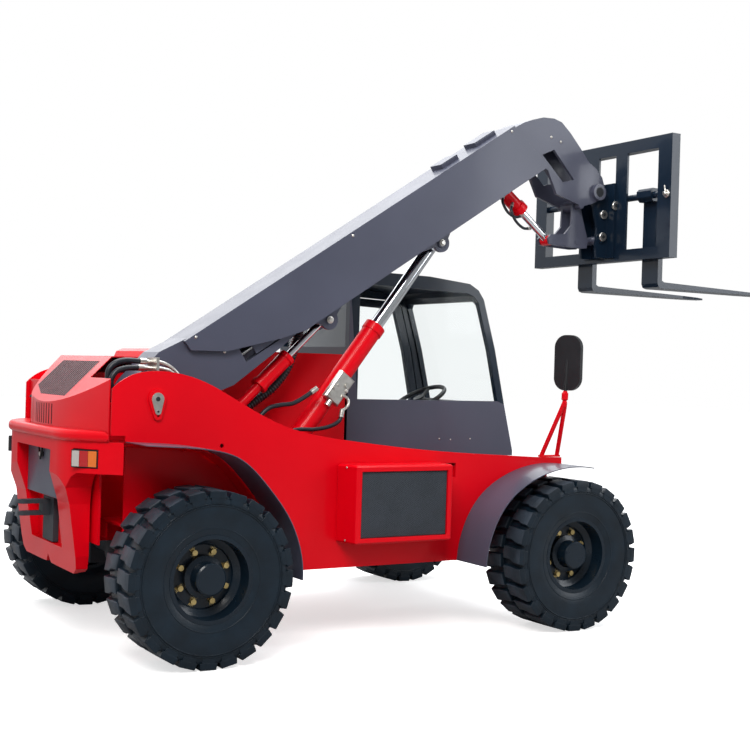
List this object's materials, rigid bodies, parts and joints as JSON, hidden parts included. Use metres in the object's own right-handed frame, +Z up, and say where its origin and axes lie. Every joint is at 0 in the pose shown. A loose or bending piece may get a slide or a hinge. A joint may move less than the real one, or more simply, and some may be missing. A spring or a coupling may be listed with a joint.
{
  "type": "telehandler",
  "caption": "Compact telescopic handler: offset cab, side boom with hydraulic extension, pallet fork carriage, steered axles, lifting hood and opening cab door.",
  "frame": {"origin": "ground level, half way along and across the machine with its forks", "axes": "+X forward towards the forks, +Y to the left, +Z up"},
  "size_m": [4.99, 2.267, 3.2364],
  "materials": {
    "cast": "painted casting",
    "chrome": "polished rod",
    "glass": "clear",
    "hose": "black hose",
    "lamp": "red, amber and clear lens",
    "navy": "satin blue-black paint",
    "plastic": "black",
    "red": "bright red gloss paint",
    "rim": "blue-black paint",
    "seat": "vinyl",
    "slate": "satin slate grey paint",
    "steel": "zinc plated",
    "tyre": "black rubber"
  },
  "bodies": {
    "root": {"side_plate_right": "red", "side_plate_left": "red", "fenders_rear": "slate", "fenders_front": "slate", "chassis_frame": "red", "axle_rear": "cast", "axle_front": "cast", "rear_bumper": "red", "rear_panel": "slate", "tow_hitch": "cast", "tail_lamps": "lamp", "left_cover": "red", "engine_block": "cast", "cooler_box": "red", "cooler_mesh": "slate", "rear_hoses": "hose", "rear_pipes": "steel", "boom_conduit": "hose", "cab_shell": "navy", "cab_glass": "glass", "seat": "seat", "steering_column": "plastic", "mirror": "plastic"},
    "hood": {"engine_hood": "red"},
    "door": {"cab_door": "navy", "door_glass": "glass"},
    "boom": {"boom_outer": "slate"},
    "boom_extension": {"boom_inner": "slate"},
    "coupler": {"coupler": "navy", "carriage": "navy"},
    "fork_right": {"fork_right": "navy"},
    "fork_left": {"fork_left": "navy"},
    "lift_barrel": {"lift_barrel": "red", "valve_block": "steel"},
    "lift_rod": {"lift_rod": "chrome"},
    "level_barrel": {"level_barrel": "red"},
    "level_rod": {"level_rod": "chrome"},
    "tilt_barrel": {"tilt_barrel": "red"},
    "tilt_rod": {"tilt_rod": "chrome"},
    "tilt_lever": {"tilt_lever": "slate"},
    "tilt_link": {"tilt_link": "slate"},
    "tie_rod_rear": {"tie_rod_rear": "steel"},
    "tie_rod_front": {"tie_rod_front": "steel"},
    "wheel_rear_right": {"tyre_rear_right": "tyre", "rim_rear_right": "rim"},
    "knuckle_rear_right": {"knuckle_rear_right": "cast"},
    "wheel_rear_left": {"tyre_rear_left": "tyre", "rim_rear_left": "rim"},
    "knuckle_rear_left": {"knuckle_rear_left": "cast"},
    "wheel_front_right": {"tyre_front_right": "tyre", "rim_front_right": "rim"},
    "knuckle_front_right": {"knuckle_front_right": "cast"},
    "wheel_front_left": {"tyre_front_left": "tyre", "rim_front_left": "rim"},
    "knuckle_front_left": {"knuckle_front_left": "cast"}
  },
  "joints": [
    {"name": "steer_rear_right", "type": "hinge", "parent": "root", "child": "knuckle_rear_right", "pos_m": [-1.805, -0.8, 0.46], "axis": [0, 0, 1], "range_deg": [-15, 15]},
    {"name": "spin_rear_right", "type": "hinge", "parent": "knuckle_rear_right", "child": "wheel_rear_right", "pos_m": [-1.805, -0.958, 0.46], "axis": [0, 1, 0], "continuous": true},
    {"name": "steer_rear_left", "type": "hinge", "parent": "root", "child": "knuckle_rear_left", "pos_m": [-1.805, 0.8, 0.46], "axis": [0, 0, 1], "range_deg": [-15, 15]},
    {"name": "spin_rear_left", "type": "hinge", "parent": "knuckle_rear_left", "child": "wheel_rear_left", "pos_m": [-1.805, 0.958, 0.46], "axis": [0, 1, 0], "continuous": true},
    {"name": "steer_front_right", "type": "hinge", "parent": "root", "child": "knuckle_front_right", "pos_m": [0.619, -0.8, 0.46], "axis": [0, 0, 1], "range_deg": [-30, 30]},
    {"name": "spin_front_right", "type": "hinge", "parent": "knuckle_front_right", "child": "wheel_front_right", "pos_m": [0.619, -0.958, 0.46], "axis": [0, 1, 0], "continuous": true},
    {"name": "steer_front_left", "type": "hinge", "parent": "root", "child": "knuckle_front_left", "pos_m": [0.619, 0.8, 0.46], "axis": [0, 0, 1], "range_deg": [-30, 30]},
    {"name": "spin_front_left", "type": "hinge", "parent": "knuckle_front_left", "child": "wheel_front_left", "pos_m": [0.619, 0.958, 0.46], "axis": [0, 1, 0], "continuous": true},
    {"name": "tie_rod_rear_slide", "type": "slide", "parent": "root", "child": "tie_rod_rear", "axis": [0, 1, 0], "range_m": [-0.0408, 0.0408]},
    {"name": "tie_rod_front_slide", "type": "slide", "parent": "root", "child": "tie_rod_front", "axis": [0, 1, 0], "range_m": [-0.0806, 0.0806]},
    {"name": "boom_lift", "type": "hinge", "parent": "root", "child": "boom", "pos_m": [-2, -0.47, 1.372], "axis": [0, -1, 0], "range_deg": [-35.3, 22], "deforming": ["boom_conduit"]},
    {"name": "boom_extend", "type": "slide", "parent": "boom", "child": "boom_extension", "axis": [0.8362, 0, 0.5484], "range_m": [0, 1.5]},
    {"name": "carriage_tilt", "type": "hinge", "parent": "boom_extension", "child": "coupler", "pos_m": [1.164, -0.47, 2.791], "axis": [0, 1, 0], "range_deg": [-36, 27]},
    {"name": "fork_right_shift", "type": "slide", "parent": "coupler", "child": "fork_right", "axis": [0, 1, 0], "range_m": [-0.05, 0.06]},
    {"name": "fork_left_shift", "type": "slide", "parent": "coupler", "child": "fork_left", "axis": [0, 1, 0], "range_m": [-0.01, 0.24]},
    {"name": "hood_lid", "type": "hinge", "parent": "root", "child": "hood", "pos_m": [-1.707, 0, 1.584], "axis": [0, 1, 0], "range_deg": [0, 50]},
    {"name": "cab_door_hinge", "type": "hinge", "parent": "root", "child": "door", "pos_m": [-0.447, 0.754, 1.38], "axis": [0, 0, 1], "range_deg": [0, 100]},
    {"name": "lift_barrel_pivot", "type": "hinge", "parent": "root", "child": "lift_barrel", "pos_m": [-1.352, -0.47, 0.68], "axis": [0, -1, 0], "range_deg": [-34.69, 21.66]},
    {"name": "lift_rod_slide", "type": "slide", "parent": "lift_barrel", "child": "lift_rod", "axis": [0.6053, 0, 0.796], "range_m": [-0.5647, 0.3523]},
    {"name": "level_barrel_pivot", "type": "hinge", "parent": "root", "child": "level_barrel", "pos_m": [-1.661, -0.47, 1.056], "axis": [0, -1, 0], "range_deg": [-37.87, 23.64]},
    {"name": "level_rod_slide", "type": "slide", "parent": "level_barrel", "child": "level_rod", "axis": [0.718, 0, 0.696], "range_m": [-0.2721, 0.1699]},
    {"name": "tilt_barrel_pivot", "type": "hinge", "parent": "boom_extension", "child": "tilt_barrel", "pos_m": [0.21661, -0.47, 2.91911], "axis": [0, 1, 0], "range_deg": [-1.5, 1.5]},
    {"name": "tilt_rod_slide", "type": "slide", "parent": "tilt_barrel", "child": "tilt_rod", "axis": [0.799, 0, -0.6013], "range_m": [-0.1848, 0.246]},
    {"name": "tilt_lever_pivot", "type": "hinge", "parent": "boom_extension", "child": "tilt_lever", "pos_m": [1.028, -0.47, 2.693], "axis": [0, 1, 0], "range_deg": [-48.34, 36.28]},
    {"name": "tilt_link_pivot", "type": "hinge", "parent": "tilt_lever", "child": "tilt_link", "pos_m": [1.045, -0.47, 2.455], "axis": [0, 1, 0], "range_deg": [-30.34, 40.42]}
  ],
  "couplings": [
    {"joint": "steer_rear_right", "follows": "steer_rear_left", "ratio": 1},
    {"joint": "steer_front_right", "follows": "steer_front_left", "ratio": 1},
    {"joint": "tie_rod_rear_slide", "follows": "steer_rear_left", "m_per_rad": 0.15},
    {"joint": "tie_rod_front_slide", "follows": "steer_front_left", "m_per_rad": -0.15},
    {"joint": "lift_barrel_pivot", "follows": "boom_lift", "ratio": 0.98},
    {"joint": "lift_rod_slide", "follows": "boom_lift", "m_per_rad": 0.915},
    {"joint": "level_barrel_pivot", "follows": "boom_lift", "ratio": 1.07},
    {"joint": "level_rod_slide", "follows": "boom_lift", "m_per_rad": 0.44},
    {"joint": "tilt_barrel_pivot", "follows": "carriage_tilt", "ratio": 0.03},
    {"joint": "tilt_rod_slide", "follows": "carriage_tilt", "m_per_rad": -0.39},
    {"joint": "tilt_lever_pivot", "follows": "carriage_tilt", "ratio": 1.34},
    {"joint": "tilt_link_pivot", "follows": "carriage_tilt", "ratio": -1.12}
  ]
}
